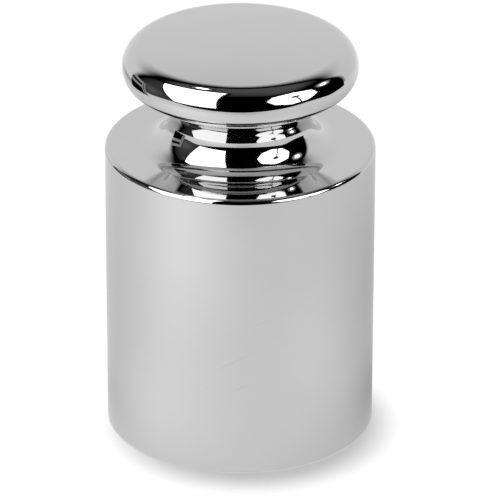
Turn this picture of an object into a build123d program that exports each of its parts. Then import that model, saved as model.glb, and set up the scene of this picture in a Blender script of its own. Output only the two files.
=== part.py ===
from build123d import *

import os
from math import atan2, cos, degrees, radians, sin, tan

# Calibration weight, knob pattern, nominal value 1 kg: one solid turned from stainless-steel bar.
# Millimetres. Z is the axis of rotation and the origin is the centre of the flat base.

# The body: a plain cylinder with a flat shoulder.
BODY_DIAMETER = 49.5
BODY_HEIGHT = 55.45  # the base to the shoulder
BASE_EDGE_RADIUS = 0.3
SHOULDER_EDGE_RADIUS = 0.85

# The neck: one round groove that runs out of the shoulder and into the knob's underside.
NECK_DIAMETER = 25.9  # at the waist, the narrowest place
GROOVE_RADIUS = 5.7
UNDERSIDE_ANGLE = 23.1  # degrees that the underside of the knob climbs towards its rim

# The knob: a disc with a fully rounded rim and a slightly crowned top.
KNOB_DIAMETER = 43.0
LOWER_RIM_WIDTH = 2.05
LOWER_RIM_HEIGHT = 3.25
UPPER_RIM_WIDTH = 3.85
UPPER_RIM_HEIGHT = 4.05
CROWN_ANGLE = 4.7  # degrees that the top falls away where it meets the rim

# Radii and heights that follow from the driving dimensions.
body_radius = BODY_DIAMETER / 2
neck_radius = NECK_DIAMETER / 2
knob_radius = KNOB_DIAMETER / 2
underside_slope = radians(UNDERSIDE_ANGLE)
crown_slope = radians(CROWN_ANGLE)

# The groove's arc has its centre straight above the place where it leaves the flat shoulder.
groove_centre_radius = neck_radius + GROOVE_RADIUS
waist_height = BODY_HEIGHT + GROOVE_RADIUS
head_radius = groove_centre_radius - GROOVE_RADIUS * sin(underside_slope)
head_height = waist_height + GROOVE_RADIUS * cos(underside_slope)

# The rim is two elliptical arcs that meet at its widest place. The lower one starts where its
# slope is that of the underside, and the upper one stops where its slope is that of the crown.
lower_rim_turn = atan2(LOWER_RIM_HEIGHT, LOWER_RIM_WIDTH * tan(underside_slope))
upper_rim_turn = atan2(UPPER_RIM_HEIGHT, UPPER_RIM_WIDTH * tan(crown_slope))
underside_radius = knob_radius - LOWER_RIM_WIDTH * (1 - cos(lower_rim_turn))
underside_height = head_height + (underside_radius - head_radius) * tan(underside_slope)
widest_height = underside_height + LOWER_RIM_HEIGHT * sin(lower_rim_turn)
crown_radius = knob_radius - UPPER_RIM_WIDTH * (1 - cos(upper_rim_turn))
crown_edge_height = widest_height + UPPER_RIM_HEIGHT * sin(upper_rim_turn)
top_height = crown_edge_height + crown_radius * tan(crown_slope / 2)


def round_corner(section, radius, height, fillet_radius):
    """Rounds the corner of the section that lies at a radius and a height."""
    corner = section.vertices().sort_by_distance((radius, height, 0))[0]
    fillet(corner, fillet_radius)


def half_section():
    """The turned outline on one side of the axis, as a flat face."""
    with BuildSketch(Plane.XZ) as section:
        with BuildLine():
            base = Line((0, 0), (body_radius, 0))
            wall = Line(base @ 1, (body_radius, BODY_HEIGHT))
            Line(wall @ 1, (groove_centre_radius, BODY_HEIGHT))
            groove = CenterArc(
                (groove_centre_radius, waist_height),
                GROOVE_RADIUS,
                start_angle=270,
                arc_size=UNDERSIDE_ANGLE - 180,
            )
            Line(groove @ 1, (underside_radius, underside_height))
            EllipticalCenterArc(
                (knob_radius - LOWER_RIM_WIDTH, widest_height),
                LOWER_RIM_WIDTH,
                LOWER_RIM_HEIGHT,
                start_angle=-degrees(lower_rim_turn),
                arc_size=degrees(lower_rim_turn),
            )
            EllipticalCenterArc(
                (knob_radius - UPPER_RIM_WIDTH, widest_height),
                UPPER_RIM_WIDTH,
                UPPER_RIM_HEIGHT,
                start_angle=0,
                arc_size=degrees(upper_rim_turn),
            )
            TangentArc((0, top_height), (crown_radius, crown_edge_height), tangent=(1, 0))
            Line((0, top_height), base @ 0)
        make_face()
        round_corner(section, body_radius, 0, BASE_EDGE_RADIUS)
        round_corner(section, body_radius, BODY_HEIGHT, SHOULDER_EDGE_RADIUS)
    return section.sketch


def make_weight():
    """The whole weight: the outline turned once round the axis."""
    return revolve(half_section(), axis=Axis.Z)


os.makedirs("parts", exist_ok=True)
weight = make_weight()
export_step(weight, "parts/weight.step")
print(f"weight: {weight.volume / 1000:.2f} cm3, {BODY_DIAMETER} mm across, {top_height:.2f} mm high")
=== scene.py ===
import math

import bpy
from mathutils import Matrix, Vector


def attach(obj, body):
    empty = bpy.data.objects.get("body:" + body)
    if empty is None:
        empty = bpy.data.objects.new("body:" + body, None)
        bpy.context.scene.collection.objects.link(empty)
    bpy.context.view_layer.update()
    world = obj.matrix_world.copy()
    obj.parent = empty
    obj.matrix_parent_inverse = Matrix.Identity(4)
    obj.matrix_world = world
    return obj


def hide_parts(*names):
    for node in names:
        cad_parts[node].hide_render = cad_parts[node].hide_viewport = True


# A mirror-polished knob weight on a white table in a small photo studio.
# Lengths are metres, apart from the weight's own outline, which is in millimetres. Angles are
# degrees. +Z is up. Azimuth 0 is the camera's side, -Y, and azimuths grow towards +X, which is
# the camera's right.

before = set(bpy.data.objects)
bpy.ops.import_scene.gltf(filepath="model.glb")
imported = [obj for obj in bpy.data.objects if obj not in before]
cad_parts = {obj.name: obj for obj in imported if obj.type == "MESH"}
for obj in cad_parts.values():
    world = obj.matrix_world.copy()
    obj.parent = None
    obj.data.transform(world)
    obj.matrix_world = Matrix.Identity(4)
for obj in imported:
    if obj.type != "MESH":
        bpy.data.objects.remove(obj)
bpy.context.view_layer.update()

MM = 0.001
UP = Vector((0, 0, 1))


# ---------------------------------------------------------------- the weight's outline

# The driving dimensions of the part's source, repeated here in millimetres.
BODY_DIAMETER = 49.5
BODY_HEIGHT = 55.45
BASE_EDGE_RADIUS = 0.3
SHOULDER_EDGE_RADIUS = 0.85
NECK_DIAMETER = 25.9
GROOVE_RADIUS = 5.7
UNDERSIDE_ANGLE = 23.1
KNOB_DIAMETER = 43.0
LOWER_RIM_WIDTH = 2.05
LOWER_RIM_HEIGHT = 3.25
UPPER_RIM_WIDTH = 3.85
UPPER_RIM_HEIGHT = 4.05
CROWN_ANGLE = 4.7

# A fine flat land in the knob's underside, which shows only in the groove's reflections.
LAND_RADIUS = 17.47  # the middle of the land
LAND_WIDTH = 0.98
LAND_EDGE_RADIUS = 0.05
OUTSIDE_LAND_ANGLE = 25.8  # degrees that the underside climbs from the land to the rim

SEGMENTS = 400  # round the axis
AXIS_RADIUS = 1e-9  # a row nearer to the axis than this is one point on it


def arc_points(centre, radii, start, end, steps):
    """Points of an elliptical arc with their outward normals, as (radius, height, nr, nz) rows.

    start and end are the ellipse's own angles. An arc that runs clockwise is concave.
    """
    rows = []
    outward = 1 if end > start else -1
    for i in range(steps + 1):
        turn = math.radians(start + (end - start) * i / steps)
        radius = centre[0] + radii[0] * math.cos(turn)
        height = centre[1] + radii[1] * math.sin(turn)
        normal = Vector((math.cos(turn) / radii[0], math.sin(turn) / radii[1])).normalized()
        rows.append((radius, height, outward * normal.x, outward * normal.y))
    return rows


def line_points(start, end, steps):
    """Points of a straight stretch with their outward normals, without its two ends."""
    along = Vector(end) - Vector(start)
    normal = Vector((along.y, -along.x)).normalized()
    rows = []
    for i in range(1, steps):
        at = Vector(start) + along * i / steps
        rows.append((at.x, at.y, normal.x, normal.y))
    return rows


def underside_rows(start, slope, outside_slope, end):
    """The underside from the groove's end to the rim's start, as rows with normals.

    It climbs at slope to its fine land, which is flat below and has a square step at its outer
    edge, and then at outside_slope to the rim.
    """
    inner = LAND_RADIUS - LAND_WIDTH / 2
    outer = LAND_RADIUS + LAND_WIDTH / 2
    below = start[1] + (inner - start[0]) * math.tan(slope)
    above = end[1] - (end[0] - outer) * math.tan(outside_slope)
    edge = LAND_EDGE_RADIUS
    rows = line_points(start, (inner, below), steps=3)
    rows.append((inner, below, math.sin(slope), -math.cos(slope)))
    rows.append((inner + edge, below, 0.0, -1.0))
    rows += line_points((inner + edge, below), (outer - edge, below), steps=3)
    rows += arc_points((outer - edge, below + edge), (edge, edge), -90, 0, steps=4)
    rows.append((outer, above - edge, 1.0, 0.0))
    outside = (outer + edge, above + edge * math.tan(outside_slope))
    rows.append((*outside, math.sin(outside_slope), -math.cos(outside_slope)))
    rows += line_points(outside, end, steps=3)
    return rows


def outline():
    """The turned outline from the middle of the base to the middle of the top."""
    body_radius = BODY_DIAMETER / 2
    knob_radius = KNOB_DIAMETER / 2
    underside = math.radians(UNDERSIDE_ANGLE)
    outside_slope = math.radians(OUTSIDE_LAND_ANGLE)
    crown = math.radians(CROWN_ANGLE)

    base_edge = arc_points(
        (body_radius - BASE_EDGE_RADIUS, BASE_EDGE_RADIUS),
        (BASE_EDGE_RADIUS, BASE_EDGE_RADIUS), -90, 0, steps=8,
    )
    shoulder_edge = arc_points(
        (body_radius - SHOULDER_EDGE_RADIUS, BODY_HEIGHT - SHOULDER_EDGE_RADIUS),
        (SHOULDER_EDGE_RADIUS, SHOULDER_EDGE_RADIUS), 0, 90, steps=20,
    )
    groove = arc_points(
        (NECK_DIAMETER / 2 + GROOVE_RADIUS, BODY_HEIGHT + GROOVE_RADIUS),
        (GROOVE_RADIUS, GROOVE_RADIUS), 270, 90 + UNDERSIDE_ANGLE, steps=78,
    )

    # The rim's widest place follows from a plain underside, as in the part's source.
    lower_turn = math.atan2(LOWER_RIM_HEIGHT, LOWER_RIM_WIDTH * math.tan(underside))
    head_radius, head_height = groove[-1][:2]
    underside_radius = knob_radius - LOWER_RIM_WIDTH * (1 - math.cos(lower_turn))
    underside_height = head_height + (underside_radius - head_radius) * math.tan(underside)
    widest_height = underside_height + LOWER_RIM_HEIGHT * math.sin(lower_turn)

    # The rim's lower ellipse starts where its slope is that of the underside outside the land.
    rim_turn = math.atan2(LOWER_RIM_HEIGHT, LOWER_RIM_WIDTH * math.tan(outside_slope))
    lower_rim = arc_points(
        (knob_radius - LOWER_RIM_WIDTH, widest_height),
        (LOWER_RIM_WIDTH, LOWER_RIM_HEIGHT), -math.degrees(rim_turn), 0, steps=26,
    )

    # The upper ellipse stops where its slope is the crown's, and the crown is a part of a sphere.
    upper_turn = math.atan2(UPPER_RIM_HEIGHT, UPPER_RIM_WIDTH * math.tan(crown))
    upper_rim = arc_points(
        (knob_radius - UPPER_RIM_WIDTH, widest_height),
        (UPPER_RIM_WIDTH, UPPER_RIM_HEIGHT), 0, math.degrees(upper_turn), steps=40,
    )
    crown_edge_radius, crown_edge_height = upper_rim[-1][:2]
    crown_sphere = crown_edge_radius / math.sin(crown)
    crown_rows = arc_points(
        (0, crown_edge_height - crown_sphere * math.cos(crown)),
        (crown_sphere, crown_sphere), 90 - CROWN_ANGLE, 90, steps=14,
    )

    rows = [(0.0, 0.0, 0.0, -1.0)]
    rows += line_points((0, 0), base_edge[0][:2], steps=3)
    rows += base_edge
    rows += line_points(base_edge[-1][:2], shoulder_edge[0][:2], steps=10)
    rows += shoulder_edge
    rows += line_points(shoulder_edge[-1][:2], groove[0][:2], steps=4)
    rows += groove
    rows += underside_rows(groove[-1][:2], underside, outside_slope, lower_rim[0][:2])
    rows += lower_rim
    rows += upper_rim[1:]
    rows += crown_rows[1:]
    return rows


def lathe(name, rows):
    """Turns an outline in millimetres into a closed mesh with the outline's exact normals."""
    vertices = []
    normals = []
    faces = []
    rings = []
    for radius, height, radial, axial in rows:
        count = 1 if radius < AXIS_RADIUS else SEGMENTS
        rings.append((len(vertices), count))
        for i in range(count):
            turn = 2 * math.pi * i / SEGMENTS
            east, north = math.cos(turn), math.sin(turn)
            vertices.append((radius * east * MM, radius * north * MM, height * MM))
            normals.append((radial * east, radial * north, axial))
    for (low, low_count), (high, high_count) in zip(rings, rings[1:]):
        for i in range(SEGMENTS):
            j = (i + 1) % SEGMENTS
            if low_count == 1:
                faces.append((low, high + j, high + i))
            elif high_count == 1:
                faces.append((low + i, low + j, high))
            else:
                faces.append((low + i, low + j, high + j, high + i))
    mesh = bpy.data.meshes.new(name)
    mesh.from_pydata(vertices, [], faces)
    mesh.update()
    mesh.shade_smooth()
    mesh.normals_split_custom_set_from_vertices(normals)
    piece = bpy.data.objects.new(name, mesh)
    bpy.context.scene.collection.objects.link(piece)
    return piece


# ---------------------------------------------------------------- materials

# The polished steel: its base colour, roughness and bump, and what each mark adds to them.
STEEL_TONE = 0.507
CLOUD_TONE = 0.03
SCRATCH_TONE = 0.015  # taken off the tone on a scratch
MIRROR_ROUGHNESS = 0.035
LATHE_ROUGHNESS = 0.02
SCRATCH_ROUGHNESS = 0.05
LATHE_BUMP = 0.02
LATHE_DEPTH = 0.0001

# Scales of the noises, per metre.
CLOUD_SCALE = 90
LATHE_SCALE = 2200
SCRATCH_SCALES = (2600, 90, 260)
SCRATCH_LEVEL = 0.83  # the noise above which a scratch shows
SCRATCH_SOFTNESS = 0.05


def node_material(name):
    """An empty node material, its tree and its output node."""
    material = bpy.data.materials.new(name)
    material.use_nodes = True
    tree = material.node_tree
    tree.nodes.clear()
    output = tree.nodes.new("ShaderNodeOutputMaterial")
    return material, tree, output


def maths(tree, operation, first, second=None, third=None):
    """The result of a maths node on sockets or numbers."""
    node = tree.nodes.new("ShaderNodeMath")
    node.operation = operation
    for socket, value in zip(node.inputs, (first, second, third)):
        if value is None:
            continue
        if isinstance(value, bpy.types.NodeSocket):
            tree.links.new(value, socket)
        else:
            socket.default_value = value
    return node.outputs[0]


def ramp(tree, value, start, end):
    """A smooth climb from 0 where the value is start to 1 where it is end."""
    node = tree.nodes.new("ShaderNodeMapRange")
    node.interpolation_type = "SMOOTHSTEP"
    node.inputs["From Min"].default_value = start
    node.inputs["From Max"].default_value = end
    tree.links.new(value, node.inputs["Value"])
    return node.outputs["Result"]


def stretched_noise(tree, vector, scales, detail):
    """Noise read at a vector that was first scaled along each axis."""
    scaled = tree.nodes.new("ShaderNodeVectorMath")
    scaled.operation = "MULTIPLY"
    tree.links.new(vector, scaled.inputs[0])
    scaled.inputs[1].default_value = scales
    noise = tree.nodes.new("ShaderNodeTexNoise")
    noise.inputs["Scale"].default_value = 1.0
    noise.inputs["Detail"].default_value = detail
    tree.links.new(scaled.outputs["Vector"], noise.inputs["Vector"])
    return noise.outputs["Fac"]


def hairlines(tree, position, tilt):
    """Sparse thin streaks, 1 on a streak and 0 off it, laid in a direction given by tilt."""
    turned = tree.nodes.new("ShaderNodeMapping")
    turned.inputs["Rotation"].default_value = [math.radians(angle) for angle in tilt]
    tree.links.new(position, turned.inputs["Vector"])
    noise = stretched_noise(tree, turned.outputs["Vector"], SCRATCH_SCALES, detail=0)
    return ramp(tree, noise, SCRATCH_LEVEL, SCRATCH_LEVEL + SCRATCH_SOFTNESS)


def polished_steel():
    """Stainless steel buffed to a mirror, with lathe lines and a few hairline scratches."""
    material, tree, output = node_material("polished_steel")
    shader = tree.nodes.new("ShaderNodeBsdfPrincipled")
    shader.inputs["Metallic"].default_value = 1.0
    coordinates = tree.nodes.new("ShaderNodeTexCoord")
    position = coordinates.outputs["Object"]

    # The lathe lines are a noise of the distance from the axis and the height alone.
    split = tree.nodes.new("ShaderNodeSeparateXYZ")
    tree.links.new(position, split.inputs[0])
    x_square = maths(tree, "MULTIPLY", split.outputs["X"], split.outputs["X"])
    y_square = maths(tree, "MULTIPLY", split.outputs["Y"], split.outputs["Y"])
    radius = maths(tree, "SQRT", maths(tree, "ADD", x_square, y_square))
    turned = tree.nodes.new("ShaderNodeCombineXYZ")
    tree.links.new(radius, turned.inputs["X"])
    tree.links.new(split.outputs["Z"], turned.inputs["Z"])
    lathe_scales = (LATHE_SCALE, 1, LATHE_SCALE)
    lines = stretched_noise(tree, turned.outputs["Vector"], lathe_scales, detail=2)

    clouds = stretched_noise(tree, position, (CLOUD_SCALE, CLOUD_SCALE, CLOUD_SCALE), detail=3)
    streaks = maths(
        tree, "MAXIMUM",
        hairlines(tree, position, (20, 35, 10)),
        hairlines(tree, position, (-50, 15, 70)),
    )

    # Base colour: faint clouds, a little darker on a scratch.
    tone = maths(tree, "MULTIPLY_ADD", clouds, CLOUD_TONE, STEEL_TONE)
    tone = maths(tree, "SUBTRACT", tone, maths(tree, "MULTIPLY", streaks, SCRATCH_TONE))
    colour = tree.nodes.new("ShaderNodeCombineColor")
    for channel in ("Red", "Green", "Blue"):
        tree.links.new(tone, colour.inputs[channel])
    tree.links.new(colour.outputs["Color"], shader.inputs["Base Color"])

    # Roughness: almost a mirror, a little duller on the lathe lines and on a scratch.
    rough = maths(tree, "MULTIPLY_ADD", lines, LATHE_ROUGHNESS, MIRROR_ROUGHNESS)
    rough = maths(tree, "ADD", rough, maths(tree, "MULTIPLY", streaks, SCRATCH_ROUGHNESS))
    tree.links.new(rough, shader.inputs["Roughness"])

    bump = tree.nodes.new("ShaderNodeBump")
    bump.inputs["Strength"].default_value = LATHE_BUMP
    bump.inputs["Distance"].default_value = LATHE_DEPTH
    tree.links.new(lines, bump.inputs["Height"])
    tree.links.new(bump.outputs["Normal"], shader.inputs["Normal"])

    tree.links.new(shader.outputs["BSDF"], output.inputs["Surface"])
    return material


def glow(name, strength):
    """A material that shines evenly."""
    material, tree, output = node_material(name)
    emission = tree.nodes.new("ShaderNodeEmission")
    emission.inputs["Strength"].default_value = strength
    tree.links.new(emission.outputs["Emission"], output.inputs["Surface"])
    return material


def pool(tree, position, centre, spread, amount):
    """A round bell-shaped pool of light, or of shade where amount is below 0, on a card."""
    distance = tree.nodes.new("ShaderNodeVectorMath")
    distance.operation = "DISTANCE"
    tree.links.new(position, distance.inputs[0])
    distance.inputs[1].default_value = centre
    share = maths(tree, "DIVIDE", distance.outputs["Value"], spread)
    square = maths(tree, "MULTIPLY", share, share)
    bell = maths(tree, "EXPONENT", maths(tree, "MULTIPLY", square, -0.5))
    return maths(tree, "MULTIPLY", bell, amount)


def shaded_glow(name, strength):
    """A shining material whose strength is worked out from the place on its card.

    strength is a function of the node tree and the position socket, and returns a socket.
    """
    material, tree, output = node_material(name)
    emission = tree.nodes.new("ShaderNodeEmission")
    coordinates = tree.nodes.new("ShaderNodeTexCoord")
    tree.links.new(strength(tree, coordinates.outputs["Object"]), emission.inputs["Strength"])
    tree.links.new(emission.outputs["Emission"], output.inputs["Surface"])
    return material


# ---------------------------------------------------------------- the weight

weight = lathe("polished_weight", outline())
weight.data.materials.append(polished_steel())
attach(weight, "root")
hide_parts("weight")


# ---------------------------------------------------------------- the studio

# A point on the axis inside the knob, from which the directions of the studio's parts are taken.
EYE = Vector((0, 0, 0.0735))


def direction(azimuth, elevation):
    """Unit vector towards an azimuth and an elevation."""
    turn = math.radians(azimuth)
    climb = math.radians(elevation)
    level = math.cos(climb)
    return Vector((math.sin(turn) * level, -math.cos(turn) * level, math.sin(climb)))


def seen_at(azimuth, elevation, distance):
    """The point that the knob sees in a direction, at a distance."""
    return EYE + distance * direction(azimuth, elevation)


def stage_mesh(name, corners, material):
    """A flat stage card through the given corners, seen in reflections only."""
    mesh = bpy.data.meshes.new(name)
    mesh.from_pydata([tuple(corner) for corner in corners], [], [tuple(range(len(corners)))])
    mesh.update()
    mesh.materials.append(material)
    card = bpy.data.objects.new(name, mesh)
    bpy.context.scene.collection.objects.link(card)
    card.visible_camera = False
    card.visible_diffuse = False
    card.visible_shadow = False
    return card


def facing_frame(azimuth, elevation, roll):
    """Right and up vectors of a card whose face looks back along a direction, turned by roll."""
    normal = direction(azimuth, elevation)
    right = UP.cross(normal).normalized()
    up = normal.cross(right)
    turn = math.radians(roll)
    return (
        right * math.cos(turn) + up * math.sin(turn),
        up * math.cos(turn) - right * math.sin(turn),
    )


def panel(name, centre, facing, size, roll, material):
    """A rectangular card, width by height."""
    right, up = facing_frame(*facing, roll)
    half_width, half_height = size[0] / 2, size[1] / 2
    corners = [
        centre - right * half_width - up * half_height,
        centre + right * half_width - up * half_height,
        centre + right * half_width + up * half_height,
        centre - right * half_width + up * half_height,
    ]
    return stage_mesh(name, corners, material)


def disc(name, centre, facing, radius, sides, roll, material):
    """A regular card with a number of sides."""
    right, up = facing_frame(*facing, roll)
    corners = []
    for i in range(sides):
        turn = 2 * math.pi * i / sides
        corners.append(centre + radius * (right * math.cos(turn) + up * math.sin(turn)))
    return stage_mesh(name, corners, material)


BLACK = glow("black", 0.0)
SOFTBOX_WHITE = glow("softbox_white", 3.3)
PLATE_GREY = glow("plate_grey", 0.12)
STEM_GREY = glow("stem_grey", 0.03)
RIM_GAP = 0.01  # from a softbox's face to its black rim behind it


def left_softbox():
    """A rectangle of light with a black rim."""
    centre = seen_at(-60.3, 33.0, 0.64)
    facing = (-30.2, 37.9)
    width, height, lean = 0.625, 0.935, 7.9
    rim = 0.045
    behind = centre + RIM_GAP * direction(*facing)
    panel("left_softbox", centre, facing, (width, height), lean, SOFTBOX_WHITE)
    panel("left_softbox_rim", behind, facing, (width + 2 * rim, height + 2 * rim), lean, BLACK)


def right_softbox():
    """An octagon of light with a black rim, and a round plate on a stem in front of it."""
    centre = seen_at(54.2, 24.4, 0.5)
    facing = (49.9, 27.8)
    radius, lean, sides = 0.228, 31.1, 8
    rim_radius = radius * 1.07
    behind = centre + RIM_GAP * direction(*facing)
    disc("right_softbox", centre, facing, radius, sides, lean, SOFTBOX_WHITE)
    disc("right_softbox_rim", behind, facing, rim_radius, sides, lean, BLACK)

    plate_distance, plate_radius, stem_half_width = 0.46, 0.035, 0.0075
    plate_facing = (56.8, 29.0)
    plate = seen_at(*plate_facing, plate_distance)
    foot = seen_at(57.8, -3.0, plate_distance)
    disc("softbox_plate", plate, plate_facing, plate_radius, sides=32, roll=0, material=PLATE_GREY)
    side = UP.cross(direction(57, 0)) * stem_half_width
    stage_mesh("softbox_stem", [plate - side, plate + side, foot + side, foot - side], STEM_GREY)


def lamp(name, azimuth, elevation, radius, halo):
    """A small round lamp with a halo that fades out."""
    distance = 0.7
    core_strength, halo_strength = 9.0, 1.3

    def strength(tree, position):
        length = tree.nodes.new("ShaderNodeVectorMath")
        length.operation = "LENGTH"
        tree.links.new(position, length.inputs[0])
        from_middle = length.outputs["Value"]
        core = ramp(tree, from_middle, radius * 1.08, radius * 0.92)
        fade = ramp(tree, from_middle, halo, radius * 0.8)
        soft = maths(tree, "MULTIPLY", maths(tree, "MULTIPLY", fade, fade), halo_strength)
        return maths(tree, "ADD", maths(tree, "MULTIPLY", core, core_strength), soft)

    # The card is made round the origin, so that the strength is worked out from its own middle.
    origin = Vector((0, 0, 0))
    material = shaded_glow(name, strength)
    card = disc(name, origin, (azimuth, elevation), halo, sides=48, roll=0, material=material)
    card.location = seen_at(azimuth, elevation, distance)


def ceiling():
    """The dim ceiling, which fades outwards and is darkest above the camera."""
    height = 1.3
    half_width, front, back = 1.2, -1.1, 1.3
    middle = (0, 0.1, height)
    fade_end, fade_start = 1.15, 0.55
    grey = 0.118
    above_camera = (-0.02, -0.75, height)

    def strength(tree, position):
        reach = tree.nodes.new("ShaderNodeVectorMath")
        reach.operation = "DISTANCE"
        tree.links.new(position, reach.inputs[0])
        reach.inputs[1].default_value = middle
        share = ramp(tree, reach.outputs["Value"], fade_end, fade_start)
        even = maths(tree, "MULTIPLY", share, grey)
        shade = pool(tree, position, above_camera, spread=0.36, amount=-0.112)
        return maths(tree, "MAXIMUM", maths(tree, "ADD", even, shade), 0.0)

    stage_mesh("ceiling", [
        (-half_width, front, height),
        (half_width, front, height),
        (half_width, back, height),
        (-half_width, back, height),
    ], shaded_glow("ceiling_grey", strength))


def left_wall():
    """The dark grey wall behind the left softbox, lighter towards its front, with a painted pool
    of light beside the weight.
    """
    wall, front, back, foot, top = -1.2, -0.9, 0.46, -0.25, 1.25
    fade_start = 0.2
    dark_grey, front_grey = 0.022, 0.035
    beside = (wall, 0.0, 0.15)

    def strength(tree, position):
        split = tree.nodes.new("ShaderNodeSeparateXYZ")
        tree.links.new(position, split.inputs[0])
        share = ramp(tree, split.outputs["Y"], back, fade_start)
        level = maths(tree, "ADD", maths(tree, "MULTIPLY", share, front_grey), dark_grey)
        # A painted pool of light on the wall beside the weight.
        return maths(tree, "ADD", level, pool(tree, position, beside, spread=0.16, amount=0.09))

    stage_mesh("left_wall", [
        (wall, front, foot),
        (wall, back, foot),
        (wall, back, top),
        (wall, front, top),
    ], shaded_glow("wall_grey_and_light_pool", strength))


BACKDROP_AT = 0.35  # where the table ends and the backdrop stands


def backdrop():
    """White paper behind the weight, whose light fades at its sides and its top."""
    left, right, top = -0.75, 0.87, 0.9
    full_from, full_to = -0.5, 0.66
    full_below, dark_above = 0.24, 0.66
    right_climb = 0.25  # how fast the top fade climbs on the right
    middle_level, right_drop = 0.98, 0.08

    def strength(tree, position):
        split = tree.nodes.new("ShaderNodeSeparateXYZ")
        tree.links.new(position, split.inputs[0])
        sides = maths(
            tree, "MULTIPLY",
            ramp(tree, split.outputs["X"], left, full_from),
            ramp(tree, split.outputs["X"], right, full_to),
        )
        rightwards = maths(tree, "MAXIMUM", split.outputs["X"], 0.0)
        lowered = maths(tree, "MULTIPLY_ADD", rightwards, -right_climb, split.outputs["Z"])
        height = ramp(tree, lowered, dark_above, full_below)
        level = maths(tree, "MULTIPLY_ADD", split.outputs["X"], -right_drop, middle_level)
        return maths(tree, "MULTIPLY", maths(tree, "MULTIPLY", sides, height), level)

    stage_mesh("backdrop", [
        (left, BACKDROP_AT, 0),
        (right, BACKDROP_AT, 0),
        (right, BACKDROP_AT, top),
        (left, BACKDROP_AT, top),
    ], shaded_glow("backdrop_white", strength))


def table_glow():
    """The white table top as the metal sees it, which is narrowest beside the weight."""
    front, back = -0.29, BACKDROP_AT
    even = 1.02

    # Pools of light and shade on the table: place, spread and amount.
    left_softbox_pool = ((-0.092, -0.084, 0), 0.054, 0.32)
    left_foot_pool = ((-0.028, -0.021, 0), 0.0215, 0.21)
    right_softbox_pool = ((0.046, -0.027, 0), 0.031, 0.185)
    shade_behind = ((0.0186, 0.061, 0), 0.062, -0.45)
    shade_before = ((0.02, -0.225, 0), 0.045, -0.3)
    right_contact_shade = ((0.0212, 0.0077, 0), 0.013, -0.38)
    left_contact_shade = ((-0.0212, 0.004, 0), 0.0117, -0.25)
    stand_shade = ((-0.2, 0.17, 0), 0.06, -0.5)
    pools = (
        left_softbox_pool,
        left_foot_pool,
        right_softbox_pool,
        shade_behind,
        shade_before,
        right_contact_shade,
        left_contact_shade,
        stand_shade,
    )

    def strength(tree, position):
        total = even
        for place, spread, amount in pools:
            total = maths(tree, "ADD", pool(tree, position, place, spread, amount), total)
        return maths(tree, "MAXIMUM", total, 0.0)

    stage_mesh("table_glow", [
        (-0.6, front, 0),
        (0.6, front, 0),
        (0.49, -0.13, 0),
        (0.3, 0.0, 0),
        (0.287, 0.12, 0),
        (0.82, back, 0),
        (-0.72, back, 0),
        (-0.27, 0.09, 0),
        (-0.31, 0.0, 0),
        (-0.49, -0.13, 0),
    ], shaded_glow("table_white", strength))


def side_stand():
    """A small black stand with pale edges, leaning back, on the table at the left."""
    middle = Vector((-0.1487, 0.0438, 0))
    outward = direction(-109, 0)
    across = UP.cross(outward)
    lean = 0.81  # how far it leans back for its height
    middle_height = 0.048
    layer_gap = 0.001
    half_width, foot, top = 0.0335, 0.018, 0.104
    pale = glow("stand_pale", 0.42)

    def patch(name, left, right, bottom, top, layer, material):
        corners = []
        for side, height in ((left, bottom), (right, bottom), (right, top), (left, top)):
            back = lean * (height - middle_height) - layer_gap * layer
            corners.append(middle + across * side + outward * back + UP * height)
        stage_mesh(name, corners, material)

    patch("stand_frame", -half_width, half_width, foot, top, 0, pale)
    patch("stand_line", 0.0245, 0.0275, foot, 0.1, 1, BLACK)
    patch("stand_lower", -half_width, 0.0199, foot, 0.05, 1, BLACK)
    patch("stand_upper", -half_width, 0.0199, 0.065, 0.0825, 1, BLACK)


left_softbox()
right_softbox()
lamp("right_lamp", azimuth=97, elevation=32.5, radius=0.036, halo=0.13)
lamp("upper_lamp", azimuth=-124, elevation=70.5, radius=0.035, halo=0.08)
ceiling()
left_wall()
backdrop()
table_glow()
side_stand()


def table_floor():
    """The pale floor that the camera sees, with the weight's soft shadow."""
    half_size = 3.0
    drop = 0.00002  # just under the base, so that the two faces don't meet
    floor_grey, floor_glow = 0.3, 0.47
    corners = [
        (-half_size, -half_size, 0),
        (half_size, -half_size, 0),
        (half_size, half_size, 0),
        (-half_size, half_size, 0),
    ]
    mesh = bpy.data.meshes.new("floor")
    mesh.from_pydata(corners, [], [(0, 1, 2, 3)])
    mesh.update()
    floor = bpy.data.objects.new("floor", mesh)
    bpy.context.scene.collection.objects.link(floor)
    floor.visible_glossy = False
    floor.location.z = -drop
    material, tree, output = node_material("floor_white")
    diffuse = tree.nodes.new("ShaderNodeBsdfDiffuse")
    diffuse.inputs["Color"].default_value = (floor_grey, floor_grey, floor_grey, 1)
    emission = tree.nodes.new("ShaderNodeEmission")
    emission.inputs["Strength"].default_value = floor_glow
    both = tree.nodes.new("ShaderNodeAddShader")
    tree.links.new(diffuse.outputs["BSDF"], both.inputs[0])
    tree.links.new(emission.outputs["Emission"], both.inputs[1])
    tree.links.new(both.outputs["Shader"], output.inputs["Surface"])
    mesh.materials.append(material)


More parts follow.
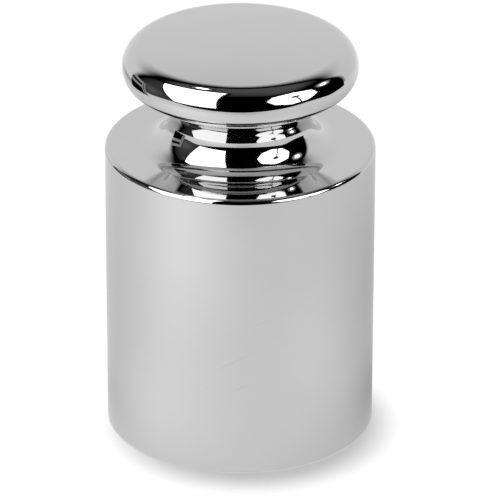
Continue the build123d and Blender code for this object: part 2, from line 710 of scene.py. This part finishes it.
def overhead_light():
    """The broad light that throws the soft shadow: high, behind and to the left."""
    towards_light = direction(-160, 84.5)
    energy, spread = 5.65, 9
    sun_data = bpy.data.lights.new("overhead", "SUN")
    sun_data.energy = energy
    sun_data.angle = math.radians(spread)
    sun = bpy.data.objects.new("overhead", sun_data)
    sun.rotation_mode = "QUATERNION"
    sun.rotation_quaternion = towards_light.to_track_quat("Z", "Y")
    sun.visible_glossy = False
    bpy.context.scene.collection.objects.link(sun)


def room():
    """The room beyond: white to the camera, unlit for everything else."""
    world = bpy.data.worlds.new("studio")
    bpy.context.scene.world = world
    world.use_nodes = True
    nodes = world.node_tree.nodes
    background = nodes["Background"]
    background.inputs["Color"].default_value = (1, 1, 1, 1)
    light_path = nodes.new("ShaderNodeLightPath")
    camera_ray = light_path.outputs["Is Camera Ray"]
    world.node_tree.links.new(camera_ray, background.inputs["Strength"])


table_floor()
overhead_light()
room()


# ---------------------------------------------------------------- camera

CAMERA_DISTANCE = 0.8415
CAMERA_HEIGHT = 0.4556
CAMERA_PITCH = 26.645  # degrees below the horizon
CAMERA_YAW = 0.1242  # degrees to the right
CAMERA_ROLL = 0.1341
CAMERA_LENS = 366.87  # millimetres
SENSOR_WIDTH = 36  # millimetres


def studio_camera():
    """The camera at the photograph's place, looking down at the weight."""
    yaw = math.radians(CAMERA_YAW)
    pitch = math.radians(CAMERA_PITCH)
    roll = math.radians(CAMERA_ROLL)
    ahead = Vector((math.sin(yaw), math.cos(yaw), 0))
    forward = ahead * math.cos(pitch) - UP * math.sin(pitch)
    level_right = Vector((math.cos(yaw), -math.sin(yaw), 0))
    level_up = level_right.cross(forward)
    right = level_right * math.cos(roll) + level_up * math.sin(roll)
    up = level_up * math.cos(roll) - level_right * math.sin(roll)
    axes = Matrix((right, up, -forward)).transposed()

    camera_data = bpy.data.cameras.new("camera")
    camera_data.lens = CAMERA_LENS
    camera_data.sensor_width = SENSOR_WIDTH
    camera = bpy.data.objects.new("camera", camera_data)
    place = Matrix.Translation((0, -CAMERA_DISTANCE, CAMERA_HEIGHT))
    camera.matrix_world = place @ axes.to_4x4()
    bpy.context.scene.collection.objects.link(camera)
    return camera


bpy.context.scene.camera = studio_camera()
bpy.context.scene.view_settings.view_transform = "Standard"
